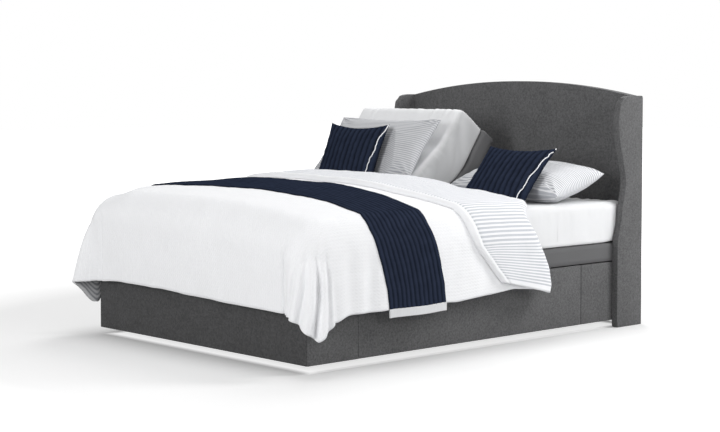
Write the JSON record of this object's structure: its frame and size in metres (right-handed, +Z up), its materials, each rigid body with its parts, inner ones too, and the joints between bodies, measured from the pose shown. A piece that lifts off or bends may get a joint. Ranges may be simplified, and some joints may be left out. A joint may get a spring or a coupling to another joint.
{
  "type": "adjustable bed",
  "caption": "Adjustable bed: winged, arched upholstered headboard, panelled base, split head sections that lift and tilt, a lifting leg section, mattress and bedding.",
  "frame": {"origin": "middle of the bounding box at floor level", "axes": "+Y runs from the foot to the headboard, +X to the right when looking from the foot to the headboard, +Z up"},
  "size_m": [1.7248, 2.1851, 1.192],
  "materials": {
    "upholstery": "dark grey wool-like weave",
    "deck_cover": "smooth mid-grey cover",
    "mattress_sheet": "white fitted cotton sheet",
    "frame_paint": "satin",
    "bare_steel": "brushed",
    "black_plastic": "matte",
    "buffer_rubber": "matte",
    "pillow_stripe": "white cotton with fine grey stripes",
    "navy_quilting": "navy, sewn in channels",
    "duvet_cotton": "white waffle cotton, striped turn-back"
  },
  "bodies": {
    "base": {"foot_panel": "upholstery", "foot_corner_panels": "upholstery", "side_panel_left": "upholstery", "side_panel_right": "upholstery", "head_corner_panels": "upholstery", "headboard_panel": "upholstery", "headboard_wing_left": "upholstery", "headboard_wing_right": "upholstery", "headboard_brackets": "frame_paint", "headboard_bolts": "bare_steel", "frame_rail_left": "frame_paint", "frame_rail_right": "frame_paint", "frame_cross_members": "frame_paint", "support_legs": "frame_paint", "leg_glides": "black_plastic", "seat_blocks": "frame_paint", "deck_buffers": "buffer_rubber", "seat_deck": "deck_cover", "mattress_seat": "mattress_sheet", "seat_hinge_halves": "bare_steel", "seat_hinge_pins": "bare_steel", "actuator_brackets": "frame_paint", "control_box": "black_plastic", "power_supply": "black_plastic", "duvet": "duvet_cotton", "runner": "navy_quilting"},
    "thigh": {"thigh_deck": "deck_cover", "mattress_thigh": "mattress_sheet", "thigh_hinge_halves": "bare_steel", "knee_hinge_pins": "bare_steel", "thigh_lift_bracket": "frame_paint"},
    "calf": {"calf_deck": "deck_cover", "mattress_calf": "mattress_sheet", "calf_hinge_halves": "bare_steel"},
    "leg_housing": {"leg_actuator": "black_plastic"},
    "leg_piston": {"leg_rod": "bare_steel"},
    "back_left": {"back_deck_left": "deck_cover", "mattress_back_left": "mattress_sheet", "back_hinge_halves_left": "bare_steel", "neck_hinge_pins_left": "bare_steel", "back_lift_bracket_left": "frame_paint", "pillow_left": "pillow_stripe", "cushion_left": "navy_quilting"},
    "neck_left": {"neck_deck_left": "deck_cover", "mattress_neck_left": "mattress_sheet", "neck_hinge_halves_left": "bare_steel"},
    "back_housing_left": {"back_actuator_left": "black_plastic"},
    "back_piston_left": {"back_rod_left": "bare_steel"},
    "back_right": {"back_deck_right": "deck_cover", "mattress_back_right": "mattress_sheet", "back_hinge_halves_right": "bare_steel", "neck_hinge_pins_right": "bare_steel", "back_lift_bracket_right": "frame_paint", "pillow_right": "pillow_stripe", "cushion_right": "navy_quilting"},
    "neck_right": {"neck_deck_right": "deck_cover", "mattress_neck_right": "mattress_sheet", "neck_hinge_halves_right": "bare_steel"},
    "back_housing_right": {"back_actuator_right": "black_plastic"},
    "back_piston_right": {"back_rod_right": "bare_steel"}
  },
  "joints": [
    {"name": "back_left_lift", "type": "hinge", "parent": "base", "child": "back_left", "pos_m": [-0.375, 0.2307, 0.404], "axis": [1, 0, 0], "range_deg": [-38, 17], "deforming": ["duvet", "runner"]},
    {"name": "neck_left_tilt", "type": "hinge", "parent": "back_left", "child": "neck_left", "pos_m": [-0.375, 0.64835, 0.7303], "axis": [1, 0, 0], "range_deg": [-15, 10]},
    {"name": "back_left_housing_swing", "type": "hinge", "parent": "base", "child": "back_housing_left", "pos_m": [-0.375, -0.1293, 0.174], "axis": [1, 0, 0], "range_deg": [-4.9, 2.3]},
    {"name": "back_left_rod_slide", "type": "slide", "parent": "back_housing_left", "child": "back_piston_left", "axis": [0, 0.9645, 0.264], "range_m": [-0.093, 0.042]},
    {"name": "back_right_lift", "type": "hinge", "parent": "base", "child": "back_right", "pos_m": [0.375, 0.2307, 0.404], "axis": [1, 0, 0], "range_deg": [0, 55], "deforming": ["duvet", "runner"]},
    {"name": "neck_right_tilt", "type": "hinge", "parent": "back_right", "child": "neck_right", "pos_m": [0.375, 0.7607, 0.404], "axis": [1, 0, 0], "range_deg": [0, 25], "deforming": ["pillow_right"]},
    {"name": "back_right_housing_swing", "type": "hinge", "parent": "base", "child": "back_housing_right", "pos_m": [0.375, -0.1293, 0.174], "axis": [1, 0, 0], "range_deg": [-0.1, 5.8]},
    {"name": "back_right_rod_slide", "type": "slide", "parent": "back_housing_right", "child": "back_piston_right", "axis": [0, 0.9796, 0.2009], "range_m": [-0.001, 0.137]},
    {"name": "thigh_lift", "type": "hinge", "parent": "base", "child": "thigh", "pos_m": [0, 0.0107, 0.404], "axis": [-1, 0, 0], "range_deg": [0, 30], "deforming": ["duvet", "runner"]},
    {"name": "knee_fold", "type": "hinge", "parent": "thigh", "child": "calf", "pos_m": [0, -0.3793, 0.404], "axis": [-1, 0, 0], "range_deg": [-47.5, 0.1]},
    {"name": "leg_housing_swing", "type": "hinge", "parent": "base", "child": "leg_housing", "pos_m": [0, 0.3707, 0.204], "axis": [-1, 0, 0], "range_deg": [-0.1, 5.1]},
    {"name": "leg_rod_slide", "type": "slide", "parent": "leg_housing", "child": "leg_piston", "axis": [0, -0.9933, 0.1155], "range_m": [-0.001, 0.077]}
  ],
  "couplings": [
    {"joint": "back_left_housing_swing", "follows": "back_left_lift", "ratio": 0.1253},
    {"joint": "back_left_rod_slide", "follows": "back_left_lift", "m_per_rad": 0.1388},
    {"joint": "back_right_housing_swing", "follows": "back_right_lift", "ratio": 0.1032},
    {"joint": "back_right_rod_slide", "follows": "back_right_lift", "m_per_rad": 0.1416},
    {"joint": "knee_fold", "follows": "thigh_lift", "ratio": -1.58},
    {"joint": "leg_housing_swing", "follows": "thigh_lift", "ratio": 0.1659},
    {"joint": "leg_rod_slide", "follows": "thigh_lift", "m_per_rad": 0.1453}
  ]
}
